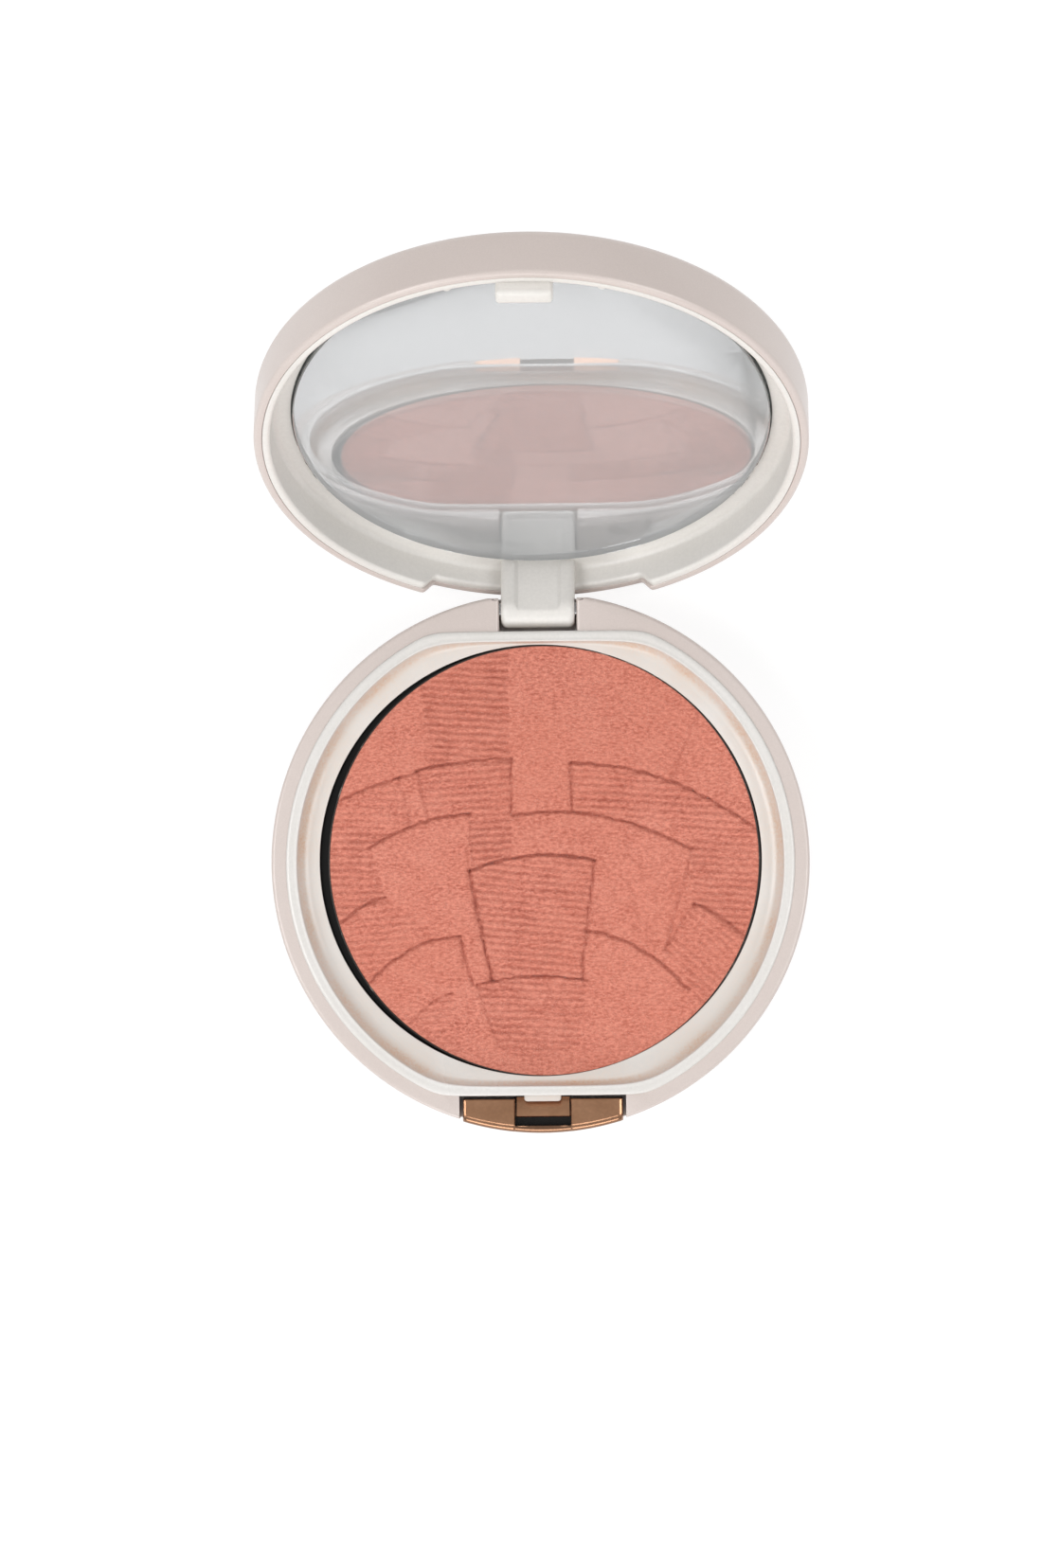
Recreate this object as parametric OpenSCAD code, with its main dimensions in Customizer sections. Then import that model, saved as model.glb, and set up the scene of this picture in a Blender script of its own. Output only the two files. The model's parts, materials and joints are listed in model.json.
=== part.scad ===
// Round powder compact, standing open: base with a pressed cake in a pan, and a
// mirrored lid on a hinge pin, held shut by a wedge button at the front.
// The origin is the middle of the underside. +Z is up, and the hinge is at +Y.

/* [Case] */
// Outer radius of the base and the lid
case_r = 36.5; // [36:0.5:40]
// Height of the base, from its underside to the parting plane
base_h = 9.5; // [9.5:0.25:12]
// Height of the lid, from its rim to its crown
lid_h = 7.5; // [7.5:0.25:10]
// Radius of the rounded edge round the underside and round the crown
edge_r = 1.5; // [1:0.25:2]
// Thickness of the outer walls
wall_t = 1.1; // [1:0.05:1.2]
// How far the lid stands open, counted from closed
open_angle = 124; // [0:1:124]

/* [Hinge] */
// Distance of the hinge axis behind the middle of the case
hinge_y = 34.25; // [34:0.05:34.5]
// Depth of the hinge axis below the parting plane
hinge_drop = 1.9; // [1.8:0.05:2.2]
// Radius of the barrel at the end of the lid's tab
barrel_r = 2.4; // [2.2:0.05:2.5]
// Width of the lid's tab
tab_w = 10; // [8:0.5:12]
// Radius of the hinge pin
pin_r = 1; // [0.8:0.05:1.2]
// Length of the hinge pin
pin_l = 17.6; // [16:0.4:18]

/* [Latch] */
// Width of the button
button_w = 21.7; // [18:0.1:22]
// Width of the valley between the button's cheeks
valley_w = 7.6; // [7.5:0.1:8.5]
// How far the button travels when it is pressed
button_travel = 0.45; // [0.3:0.05:0.5]
// Width of the catch on the lid
catch_w = 7.3; // [6:0.1:7.3]
// How far the catch reaches past the lid's rim
catch_reach = 1.66; // [1.4:0.02:1.7]

/* [Powder] */
// Outer radius of the powder pan
pan_r = 29.35; // [26:0.05:29.5]
// Height of the powder pan
pan_h = 4; // [3:0.1:4]
// How far the pan sits to the right of the middle of its well
pan_shift = 0.6; // [0:0.1:0.6]

/* [Mirror] */
// Radius of the mirror
mirror_r = 31.5; // [29:0.1:32]
// Thickness of the mirror
mirror_t = 1.5; // [1.2:0.1:1.6]
// Depth of the mirror's face below the lid's rim
mirror_depth = 4.3; // [4:0.1:4.4]

/* [Hidden] */
$fn = 96;
eps = 0.05;

// Small edge rounds and gaps
rim_round = 0.5;
fit_gap = 0.1;
side_gap = 0.25;
floor_t = 1.2;

// Flat top ring of the base, and the hollow inside it
rim_in_r = case_r - 2.2;
rim_t = 2;

// Back wall of the frame at the hinge, and front wall of the frame at the latch
hinge_wall_y = case_r - 5.2;
latch_wall_y = case_r - 4.9;
hinge_chord_y = hinge_wall_y - 1.55;
latch_chord_y = latch_wall_y - 1.2;

// Slot that the hinge tab turns in, and the flat behind it
slot_floor_z = 4.4;
hinge_z = base_h - hinge_drop;
back_flat_y = case_r - 0.65;
pin_bore_left = pin_l / 2 + 0.2;
tab_bore_r = pin_r + 0.05;

// Inner frame with its bead, cove, shelf and well
frame_r = rim_in_r - fit_gap;
bead_h = 0.3;
frame_top_z = base_h + bead_h;
shelf_z = base_h - 2;
cove_r = 1.9;
cove_edge_r = frame_r - 1.3;
cove_z = shelf_z + cove_r;
well_r = 30.15;
well_floor_z = 3.2;
frame_t = 1;
web_z = shelf_z - frame_t - 0.2;

// Pan, glue and cake
glue_t = 0.15;
glue_r = 12;
pan_t = 0.3;
pan_z = well_floor_z + glue_t;
pan_edge_r = 0.8;
pan_back_shift = 0.2;

// Latch recess, button, and the lip that the catch hooks under
recess_w = button_w + 0.9;
recess_floor_z = 3.2;
button_z = recess_floor_z + fit_gap;
button_top_z = base_h - 0.2;
button_r = case_r + 0.25;
button_back_y = latch_wall_y + button_travel + eps;
ramp_low_z = base_h - 2.6;
ramp_high_z = base_h - 2;
ramp_end_y = case_r - 1.9;
button_wall_y = case_r - 0.75;
trap_floor_z = button_z + 1;
nib_w = 6;
nib_t = 1.2;
nib_h = 0.8;
nib_y = case_r - 2.9;
lip_w = 5;
lip_reach = 0.8;
lip_low_z = base_h - 1.1;
lip_t = 0.8;
lip_corner_r = 0.4;

// Lid: shell, liner, notch behind the tab, catch and pips
liner_r = case_r - wall_t - eps;
liner_in_r = case_r - 2.2;
liner_top = lid_h - 1;
lid_floor = mirror_depth + 0.7;
pocket_r = mirror_r + 0.2;
pad_t = 0.15;
pad_r = mirror_r - 1.5;
pocket_depth = mirror_depth + mirror_t + pad_t;
notch_h = 1.8;
notch_low_w = 28.6;
notch_rim_w = 31.6;
catch_out_y = case_r - 2;
catch_in_y = case_r - 4.35;
catch_groove = 0.35;
catch_round = 0.4;
barb_t = 0.42;
pip_r = 0.8;
pip_x = 9.9;
pip_depth = 1;
pip_at_r = liner_in_r + 0.15;
tab_front = barrel_r;
tab_back = 1.1;
tab_pocket_w = 5.9;
tab_pocket_t = 0.4;

// Half section of a disc with its lower and upper outer edges rounded
module disc_section(r, h, low, high) {
    square([r - low, h - high]);
    translate([0, low]) square([r, h - low - high]);
    translate([0, low]) square([r - high, h - low]);
    translate([r - low, low]) circle(r = low);
    translate([r - high, h - high]) circle(r = high);
}

// Half section of a ring
module ring_section(inner, outer, low, high) {
    translate([inner, low]) square([outer - inner, high - low]);
}

// Slab across the case, from one distance behind the middle to another
module slab(front_y, back_y, low, high) {
    translate([-case_r - 1, front_y, low]) cube([2 * case_r + 2, back_y - front_y, high - low]);
}

// Block as wide as w about the middle, from one distance to another
module block(w, front_y, back_y, low, high) {
    translate([-w / 2, front_y, low]) cube([w, back_y - front_y, high - low]);
}

// Cylinder lying along X about the hinge axis
module hinge_rod(r, left, right) {
    translate([left, hinge_y, hinge_z]) rotate([0, 90, 0]) cylinder(r = r, h = right - left);
}

// Turns what is drawn closed about the hinge, to where the lid stands open
module opened() {
    translate([0, hinge_y, hinge_z]) rotate([-open_angle, 0, 0])
        translate([0, -hinge_y, -hinge_z]) children();
}

// Notch in the lid's rim that clears the base's ears
module rim_notch() {
    translate([0, case_r + 2, base_h]) rotate([90, 0, 0]) linear_extrude(14)
        polygon([
            [-notch_rim_w / 2 - 1, -1], [notch_rim_w / 2 + 1, -1],
            [notch_low_w / 2, notch_h], [-notch_low_w / 2, notch_h]
        ]);
}

// Outer moulding of the base: floor, wall, flat rim, hinge ears and latch recess
module base_shell() {
    color("linen") difference() {
        union() {
            rotate_extrude() difference() {
                disc_section(case_r, base_h, edge_r, rim_round);
                ring_section(-1, case_r - wall_t, floor_t, base_h + 1);
            }
            rotate_extrude()
                ring_section(rim_in_r, case_r - wall_t / 2, base_h - rim_t, base_h);
            intersection() {
                translate([0, 0, floor_t / 2])
                    cylinder(r = case_r - wall_t / 2, h = base_h - floor_t / 2);
                union() {
                    slab(hinge_wall_y + eps, case_r, 0, base_h);
                    slab(-case_r, -latch_wall_y - eps, 0, base_h);
                }
            }
        }
        block(tab_w + 2 * side_gap, hinge_wall_y - 1, case_r + 1, slot_floor_z, base_h + 1);
        slab(back_flat_y, case_r + 1, -1, base_h + 1);
        hinge_rod(pin_r, -pin_bore_left, case_r);
        block(recess_w, -case_r - 1, -latch_wall_y + 1, recess_floor_z, base_h + 1);
        block(nib_w + 0.4, -nib_y - nib_t / 2 - fit_gap,
            -nib_y + nib_t / 2 + button_travel + fit_gap, recess_floor_z - nib_h - fit_gap, base_h);
    }
}

// Half section of the frame: bead, cove, shelf, well and skirt
module frame_section() {
    difference() {
        union() {
            ring_section(well_r, frame_r - rim_round, web_z, frame_top_z);
            ring_section(well_r, frame_r, web_z, frame_top_z - rim_round);
            translate([frame_r - rim_round, frame_top_z - rim_round]) circle(r = rim_round);
            ring_section(frame_r - frame_t, frame_r, floor_t, web_z + eps);
            ring_section(well_r, well_r + frame_t, well_floor_z - frame_t, shelf_z);
            ring_section(0, well_r + frame_t, well_floor_z - frame_t, well_floor_z);
        }
        ring_section(0, cove_edge_r - cove_r, shelf_z, base_h + 1);
        translate([cove_edge_r - cove_r, cove_z]) circle(r = cove_r);
        ring_section(0, cove_edge_r, cove_z, base_h + 1);
    }
}

// Lip that the lid's catch hooks under
module snap_lip() {
    translate([0, -latch_wall_y, lip_low_z]) linear_extrude(lip_t) {
        translate([-lip_w / 2, lip_corner_r - lip_reach])
            square([lip_w, lip_reach - lip_corner_r + 0.5]);
        translate([lip_corner_r - lip_w / 2, -lip_reach])
            square([lip_w - 2 * lip_corner_r, lip_reach]);
        for (side = [-1, 1])
            translate([side * (lip_w / 2 - lip_corner_r), lip_corner_r - lip_reach])
                circle(r = lip_corner_r);
    }
}

// Inner frame of the base, which carries the pan and closes slot and recess
module base_frame() {
    color("ivory") {
        intersection() {
            rotate_extrude() frame_section();
            slab(-latch_wall_y, hinge_wall_y, 0, frame_top_z);
        }
        intersection() {
            translate([0, 0, well_floor_z - frame_t])
                cylinder(r = frame_r - rim_round, h = frame_top_z - well_floor_z + frame_t);
            union() {
                slab(hinge_chord_y, hinge_wall_y, 0, frame_top_z);
                slab(-latch_wall_y, -latch_chord_y, 0, frame_top_z);
            }
        }
        snap_lip();
    }
}

// Pressed metal pan
module pan() {
    color("dimgray") translate([pan_shift, pan_back_shift, pan_z]) rotate_extrude() difference() {
        disc_section(pan_r, pan_h, pan_edge_r, 0.1);
        translate([0, pan_t]) disc_section(pan_r - pan_t, pan_h, pan_edge_r - pan_t, 0.1);
    }
}

// Spot of glue that holds the pan in its well
module pan_glue() {
    color("khaki") translate([pan_shift, pan_back_shift, well_floor_z])
        cylinder(r = glue_r, h = glue_t);
}

// Pressed powder, level with the pan's rim
module powder_cake() {
    color("lightcoral") translate([pan_shift, pan_back_shift, pan_z + pan_t]) rotate_extrude()
        intersection() {
            disc_section(pan_r - pan_t, pan_h, pan_edge_r - pan_t, 0.1);
            square([pan_r, pan_h - pan_t]);
        }
}

// Steel pin, pressed in from the right
module hinge_pin() {
    color("silver") hinge_rod(pin_r, -pin_l / 2, pin_l / 2);
}

// Wedge button: two cheeks, the valley with its ramp, the front wall and the stop nib
module latch_button() {
    color("rosybrown") {
        difference() {
            intersection() {
                translate([0, 0, button_z]) cylinder(r = button_r, h = button_top_z - button_z);
                block(button_w, -case_r - 1, -button_back_y, 0, base_h);
            }
            translate([-valley_w / 2, 0, 0]) rotate([90, 0, 90]) linear_extrude(valley_w)
                polygon([
                    [-latch_wall_y, base_h], [-latch_wall_y, ramp_low_z],
                    [-ramp_end_y, ramp_high_z], [-ramp_end_y, trap_floor_z],
                    [-button_wall_y, trap_floor_z], [-button_wall_y, base_h]
                ]);
        }
        block(nib_w, -nib_y - nib_t / 2, -nib_y + nib_t / 2, button_z - nib_h, button_z + 0.2);
    }
}

// Outer moulding of the lid
module lid_shell() {
    color("tan") opened() difference() {
        translate([0, 0, base_h]) rotate_extrude() difference() {
            disc_section(case_r, lid_h, rim_round, edge_r);
            ring_section(-1, case_r - wall_t, -1, liner_top + eps);
        }
        rim_notch();
    }
}

// Hinge tab: barrel and plate, drawn closed
module hinge_tab() {
    hinge_rod(barrel_r, -tab_w / 2, tab_w / 2);
    block(tab_w, hinge_y - tab_front, hinge_y + tab_back, hinge_z, base_h + lid_floor + 0.5);
}

// Catch with its groove and barb, drawn closed
module catch_hook() {
    difference() {
        union() {
            block(catch_w - 2 * catch_round, -catch_out_y, -catch_in_y,
                base_h - catch_reach, base_h + 1.2);
            block(catch_w, -catch_out_y, -catch_in_y,
                base_h - catch_reach + catch_round, base_h + 1.2);
            for (side = [-1, 1])
                translate([side * (catch_w / 2 - catch_round), -catch_in_y,
                    base_h - catch_reach + catch_round])
                    rotate([90, 0, 0]) cylinder(r = catch_round, h = catch_out_y - catch_in_y);
        }
        block(catch_w + 1, -catch_in_y - catch_groove, -catch_in_y + 1,
            base_h - catch_reach + barb_t, base_h - fit_gap);
    }
}

// Inner moulding of the lid: wall, floor, mirror pocket, hinge tab, catch and pips
module lid_liner() {
    color("whitesmoke") opened() difference() {
        union() {
            difference() {
                translate([0, 0, base_h]) rotate_extrude() difference() {
                    union() {
                        ring_section(0, liner_r, fit_gap + rim_round, liner_top);
                        ring_section(0, liner_r - rim_round, fit_gap, liner_top);
                        translate([liner_r - rim_round, fit_gap + rim_round])
                            circle(r = rim_round);
                    }
                    ring_section(-1, liner_in_r, -1, lid_floor);
                    ring_section(-1, pocket_r, -1, pocket_depth);
                }
                rim_notch();
            }
            hinge_tab();
            catch_hook();
            for (side = [-1, 1])
                translate([side * pip_x, -sqrt(pip_at_r * pip_at_r - pip_x * pip_x),
                    base_h + pip_depth]) sphere(r = pip_r);
        }
        hinge_rod(tab_bore_r, -tab_w, tab_w);
        block(tab_pocket_w, hinge_y - tab_front - 1, hinge_y - tab_front + tab_pocket_t,
            hinge_z - barrel_r, base_h + lid_floor);
        translate([0, 0, base_h]) cylinder(r = pocket_r, h = pocket_depth);
    }
}

// Round glass mirror
module mirror_glass() {
    color("lightsteelblue") opened()
        translate([0, 0, base_h + mirror_depth]) cylinder(r = mirror_r, h = mirror_t);
}

// Adhesive film behind the mirror
module mirror_pad() {
    color("gainsboro") opened()
        translate([0, 0, base_h + mirror_depth + mirror_t]) cylinder(r = pad_r, h = pad_t);
}

base_shell();
base_frame();
pan();
pan_glue();
powder_cake();
hinge_pin();
latch_button();
lid_shell();
lid_liner();
mirror_glass();  // mirror
mirror_pad();
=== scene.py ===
import json
import math

import bmesh
import bpy
import numpy as np
from mathutils import Matrix, Vector


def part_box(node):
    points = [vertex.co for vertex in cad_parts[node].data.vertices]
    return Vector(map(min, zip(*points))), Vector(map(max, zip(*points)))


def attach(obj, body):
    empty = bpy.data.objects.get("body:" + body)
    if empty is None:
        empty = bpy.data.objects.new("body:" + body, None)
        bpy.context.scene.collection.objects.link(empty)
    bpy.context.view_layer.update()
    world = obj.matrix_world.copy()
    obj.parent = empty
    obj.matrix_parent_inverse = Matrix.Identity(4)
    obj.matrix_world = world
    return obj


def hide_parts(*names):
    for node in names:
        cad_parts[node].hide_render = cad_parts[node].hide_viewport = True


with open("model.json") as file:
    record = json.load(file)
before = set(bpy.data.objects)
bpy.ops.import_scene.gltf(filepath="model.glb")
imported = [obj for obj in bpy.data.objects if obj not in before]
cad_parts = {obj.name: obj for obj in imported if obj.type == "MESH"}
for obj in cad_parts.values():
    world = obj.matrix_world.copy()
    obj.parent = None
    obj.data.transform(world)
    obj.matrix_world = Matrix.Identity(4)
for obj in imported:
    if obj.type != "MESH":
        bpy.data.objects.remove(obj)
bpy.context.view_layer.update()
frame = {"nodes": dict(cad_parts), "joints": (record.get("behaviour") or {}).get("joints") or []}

# Shapes are worked out in millimetres and turned into metres when a mesh is made.
MM = 0.001
scene = bpy.context.scene
nodes = frame["nodes"]


# ---------------------------------------------------------------- places read from the frame


def box_mm(node):
    """Lowest and highest corner of a CAD node, in millimetres."""
    low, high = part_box(node)
    return low / MM, high / MM


shell_high = box_mm("base_shell")[1]
frame_high = box_mm("base_frame")[1]
pan_low, pan_high = box_mm("pan")
cake_low, cake_high = box_mm("powder_cake")
button_low, button_high = box_mm("latch_button")
case_r = shell_high.x
base_h = shell_high.z
bead_z = frame_high.z
hinge_wall_y = frame_high.y
PAN_NUDGE = Vector((-0.12, 0, 0))
pan_middle = (pan_low + pan_high) / 2 + PAN_NUDGE
pan_r = (pan_high.x - pan_low.x) / 2
cake_z = cake_high.z
liner_r = box_mm("lid_liner")[1].x
mirror_r = box_mm("mirror")[1].x

lid_joint = next(joint for joint in frame["joints"] if joint["name"] == "lid_hinge")
hinge = Vector(lid_joint["pos_m"]) / MM
open_angle = math.radians(lid_joint["range_deg"][1])

# Depths in the lid, counted from its rim towards its crown
LID_H = 7.5
LID_WALL = 1.1
LINER_TOP = 6.5
LINER_IN_R = 34.3
LID_FLOOR = 5.0
POCKET_R = mirror_r + 0.2
POCKET_DEPTH = 5.95
MIRROR_DEPTH = 4.3
GLASS_T = 1.46
SILVER_T = 0.04


# ---------------------------------------------------------------- mesh tools

WELD = 1e-5
CARVED_WELD = 0.004
FLAT_WITHIN = math.radians(0.4)


def to_object(name, bm, crease=35):
    """Object from a bmesh in millimetres, smooth except where it turns by more than crease."""
    bmesh.ops.recalc_face_normals(bm, faces=bm.faces)
    bmesh.ops.scale(bm, vec=(MM, MM, MM), verts=bm.verts)
    mesh = bpy.data.meshes.new(name)
    bm.to_mesh(mesh)
    bm.free()
    mesh.shade_smooth()
    mesh.set_sharp_from_angle(angle=math.radians(crease))
    made = bpy.data.objects.new(name, mesh)
    scene.collection.objects.link(made)
    return made


def skin(sections, round_sections=True, round_points=True, caps=False):
    """Bmesh skinned over point loops of one length, with coinciding points welded."""
    bm = bmesh.new()
    rows = [[bm.verts.new(point) for point in section] for section in sections]
    count = len(rows[0])
    last_row = len(rows) if round_sections else len(rows) - 1
    last_point = count if round_points else count - 1
    for i in range(last_row):
        here = rows[i]
        there = rows[(i + 1) % len(rows)]
        for j in range(last_point):
            k = (j + 1) % count
            bm.faces.new((here[j], there[j], there[k], here[k]))
    if caps:
        bm.faces.new(rows[0])
        bm.faces.new(rows[-1])
    bmesh.ops.remove_doubles(bm, verts=bm.verts, dist=WELD)
    return bm


def join(target, extra):
    """Adds the faces of one bmesh to another."""
    mesh = bpy.data.meshes.new("part")
    extra.to_mesh(mesh)
    extra.free()
    target.from_mesh(mesh)
    bpy.data.meshes.remove(mesh)


FILLET_REACH = 0.49


def filleted(corners, arc_steps=5):
    """Closed outline through corners (x, y, radius), each turned into an arc of that radius."""
    outline = []
    for i, (x, y, radius) in enumerate(corners):
        corner = Vector((x, y))
        if radius == 0:
            outline.append(corner)
            continue
        before = Vector(corners[i - 1][:2]) - corner
        after = Vector(corners[(i + 1) % len(corners)][:2]) - corner
        half = before.angle(after) / 2
        reach = min(radius / math.tan(half), FILLET_REACH * before.length,
                    FILLET_REACH * after.length)
        start = corner + before.normalized() * reach
        end = corner + after.normalized() * reach
        pull = math.sin(half)
        for step in range(arc_steps + 1):
            share = step / arc_steps
            weights = ((1 - share) ** 2, 2 * pull * share * (1 - share), share ** 2)
            point = weights[0] * start + weights[1] * corner + weights[2] * end
            outline.append(point / sum(weights))
    return outline


def eased(share):
    """A share held between 0 and 1, and eased in and out."""
    share = np.clip(share, 0.0, 1.0)
    return share * share * (3 - 2 * share)


def revolved(profile_at, steps, middle=(0, 0)):
    """Sections round Z, whose profile of (radius, height) may change with the angle."""
    sections = []
    for step in range(steps):
        angle = 2 * math.pi * step / steps
        across, along = math.cos(angle), math.sin(angle)
        sections.append([
            (middle[0] + r * across, middle[1] + r * along, z) for r, z in profile_at(angle)
        ])
    return sections


def open_lid(bm):
    """Turns what was drawn on the closed case about the hinge, to where the lid stands open."""
    turn = Matrix.Rotation(-open_angle, 4, "X")
    bmesh.ops.rotate(bm, cent=hinge, matrix=turn, verts=bm.verts)
    return bm


def box_between(low, high):
    """Bmesh of a plain box between two corners."""
    bm = bmesh.new()
    bmesh.ops.create_cube(bm, size=1)
    low, high = Vector(low), Vector(high)
    bmesh.ops.scale(bm, vec=high - low, verts=bm.verts)
    bmesh.ops.translate(bm, vec=(low + high) / 2, verts=bm.verts)
    return bm


def rounded_block(low, high, radius, segments):
    """Bmesh of a block with every edge rounded."""
    bm = box_between(low, high)
    bmesh.ops.bevel(bm, geom=bm.edges[:], offset=radius, segments=segments, profile=0.5,
                    affect="EDGES")
    return bm


def sharp_edges(bm, crease):
    """Edges where the surface turns by more than crease degrees."""
    limit = math.radians(crease)
    return [e for e in bm.edges if len(e.link_faces) == 2 and e.calc_face_angle() > limit]


def soften(bm, edges, width, segments):
    """Rounds the given edges by a small width."""
    bmesh.ops.bevel(bm, geom=edges, offset=width, segments=segments, profile=0.5,
                    affect="EDGES", clamp_overlap=False)


def carved(bm, cutters):
    """Cuts a list of bmeshes out of another, then makes its flat faces whole again."""
    target = to_object("carved", bm)
    holders = [to_object("cutter", cutter) for cutter in cutters]
    for holder in holders:
        cut = target.modifiers.new("cut", "BOOLEAN")
        cut.operation = "DIFFERENCE"
        cut.solver = "EXACT"
        cut.object = holder
    shown = target.evaluated_get(bpy.context.evaluated_depsgraph_get())
    result = bmesh.new()
    result.from_mesh(shown.to_mesh())
    for spent in [target] + holders:
        bpy.data.objects.remove(spent)
    bmesh.ops.scale(result, vec=(1 / MM, 1 / MM, 1 / MM), verts=result.verts)
    bmesh.ops.remove_doubles(result, verts=result.verts, dist=CARVED_WELD)
    bmesh.ops.dissolve_limit(result, angle_limit=FLAT_WITHIN, verts=result.verts,
                             edges=result.edges)
    return result


def fit(made, body, slot, material, *replaced):
    """Gives a piece its body and material, and hides the CAD nodes it stands for; its slot is not
    used.
    """
    made.data.materials.clear()
    made.data.materials.append(material)
    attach(made, body)
    if replaced:
        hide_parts(*replaced)
    return made


# ---------------------------------------------------------------- shader tools


def new_material(name):
    """Empty node material with its Principled shader."""
    material = bpy.data.materials.new(name)
    material.use_nodes = True
    return material, material.node_tree, material.node_tree.nodes["Principled BSDF"]


def add_node(tree, kind, **settings):
    """Adds a node and sets its properties or named inputs."""
    node = tree.nodes.new(kind)
    for key, value in settings.items():
        if hasattr(node, key):
            setattr(node, key, value)
        else:
            node.inputs[key.replace("_", " ")].default_value = value
    return node


def place_in(tree):
    """Output that gives the place on the piece, in metres of the frame."""
    return tree.nodes.new("ShaderNodeTexCoord").outputs["Object"]


def new_group(name, inputs, outputs):
    """Empty shader group. Inputs are (name, kind, value) and outputs (name, kind)."""
    group = bpy.data.node_groups.new(name, "ShaderNodeTree")
    for label, kind, value in inputs:
        socket = group.interface.new_socket(label, in_out="INPUT", socket_type="NodeSocket" + kind)
        socket.default_value = value
    for label, kind in outputs:
        group.interface.new_socket(label, in_out="OUTPUT", socket_type="NodeSocket" + kind)
    return group, group.nodes.new("NodeGroupInput"), group.nodes.new("NodeGroupOutput")


def use_group(tree, group, **values):
    """Places a group in a material and sets its named inputs."""
    node = tree.nodes.new("ShaderNodeGroup")
    node.node_tree = group
    for key, value in values.items():
        node.inputs[key.replace("_", " ")].default_value = value
    return node


def blend_colors(tree, factor, first, second):
    """Mix node between two colours, each a socket or an RGB tuple; gives its colour output."""
    mix = tree.nodes.new("ShaderNodeMix")
    mix.data_type = "RGBA"
    tree.links.new(factor, mix.inputs["Factor"])
    for socket, value in ((mix.inputs[6], first), (mix.inputs[7], second)):
        if isinstance(value, tuple):
            socket.default_value = (*value, 1)
        else:
            tree.links.new(value, socket)
    return mix.outputs[2]


def height_of(tree, place):
    """Height of a place on the piece, in metres of the frame."""
    split = tree.nodes.new("ShaderNodeSeparateXYZ")
    tree.links.new(place, split.inputs["Vector"])
    return split.outputs["Z"]


def combined(tree, operation, first, second):
    """Maths node on two sockets; gives its result."""
    node = add_node(tree, "ShaderNodeMath", operation=operation)
    tree.links.new(first, node.inputs[0])
    tree.links.new(second, node.inputs[1])
    return node.outputs["Value"]


def spread(tree, value, from_low, from_high, to_low, to_high):
    """Map Range node on a socket; gives its result."""
    node = tree.nodes.new("ShaderNodeMapRange")
    tree.links.new(value, node.inputs["Value"])
    for label, number in (("From Min", from_low), ("From Max", from_high),
                          ("To Min", to_low), ("To Max", to_high)):
        node.inputs[label].default_value = number
    return node.outputs["Result"]


def bump(tree, shader, height, distance):
    """Bump node from a height to the shader's normal."""
    node = tree.nodes.new("ShaderNodeBump")
    node.inputs["Distance"].default_value = distance
    tree.links.new(height, node.inputs["Height"])
    tree.links.new(node.outputs["Normal"], shader.inputs["Normal"])


def make_grain_group():
    """Fine moulded or pearl grain: a height, and a mask of soft cloudy variation."""
    group, inside, outside = new_group(
        "fine_grain",
        [("Place", "Vector", (0, 0, 0)), ("Grain Scale", "Float", 4000.0),
         ("Cloud Scale", "Float", 60.0)],
        [("Height", "Float"), ("Cloud", "Float")])
    grain = add_node(group, "ShaderNodeTexNoise", Detail=2.0, Roughness=0.6)
    cloud = add_node(group, "ShaderNodeTexNoise", Detail=3.0, Roughness=0.5)
    group.links.new(inside.outputs["Place"], grain.inputs["Vector"])
    group.links.new(inside.outputs["Place"], cloud.inputs["Vector"])
    group.links.new(inside.outputs["Grain Scale"], grain.inputs["Scale"])
    group.links.new(inside.outputs["Cloud Scale"], cloud.inputs["Scale"])
    group.links.new(grain.outputs["Fac"], outside.inputs["Height"])
    group.links.new(cloud.outputs["Fac"], outside.inputs["Cloud"])
    return group


# Heights of the shelf, where the warm tint of loose powder and painted bounce light is faint
SHELF_TOP = (0.0075, 0.0079)
DUST_AND_BOUNCE_ON_SHELF = 0.3


def make_dust_and_bounce_group():
    """Loose powder and painted warm bounce light from the powder: a speckled mask that fades out
    upwards, and is faint on the shelf.
    """
    group, inside, outside = new_group(
        "powder_dust_and_bounce",
        [("Place", "Vector", (0, 0, 0)), ("Thick Height", "Float", 0.0086),
         ("Clean Height", "Float", 0.0096), ("Amount", "Float", 0.3)],
        [("Mask", "Float")])
    place = inside.outputs["Place"]
    height = height_of(group, place)
    speck = add_node(group, "ShaderNodeTexNoise", Scale=2600.0, Detail=3.0, Roughness=0.7)
    patch = add_node(group, "ShaderNodeTexNoise", Scale=120.0, Detail=2.0)
    for texture in (speck, patch):
        group.links.new(place, texture.inputs["Vector"])
    by_height = group.nodes.new("ShaderNodeMapRange")
    by_height.interpolation_type = "SMOOTHSTEP"
    group.links.new(height, by_height.inputs["Value"])
    group.links.new(inside.outputs["Clean Height"], by_height.inputs["From Min"])
    group.links.new(inside.outputs["Thick Height"], by_height.inputs["From Max"])
    mask = spread(group, speck.outputs["Fac"], 0.1, 0.75, 0.0, 1.0)
    off_shelf = spread(group, height, *SHELF_TOP, DUST_AND_BOUNCE_ON_SHELF, 1.0)
    for factor in (by_height.outputs["Result"], patch.outputs["Fac"],
                   inside.outputs["Amount"], off_shelf):
        mask = combined(group, "MULTIPLY", mask, factor)
    group.links.new(mask, outside.inputs["Mask"])
    return group


grain_group = make_grain_group()
dust_and_bounce_group = make_dust_and_bounce_group()


# ---------------------------------------------------------------- materials


BLACK = (0.012, 0.010, 0.009)
# Heights over which the painted shade in the well fades out
WELL_SHADE_TOP = (0.0070, 0.0074)


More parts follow.
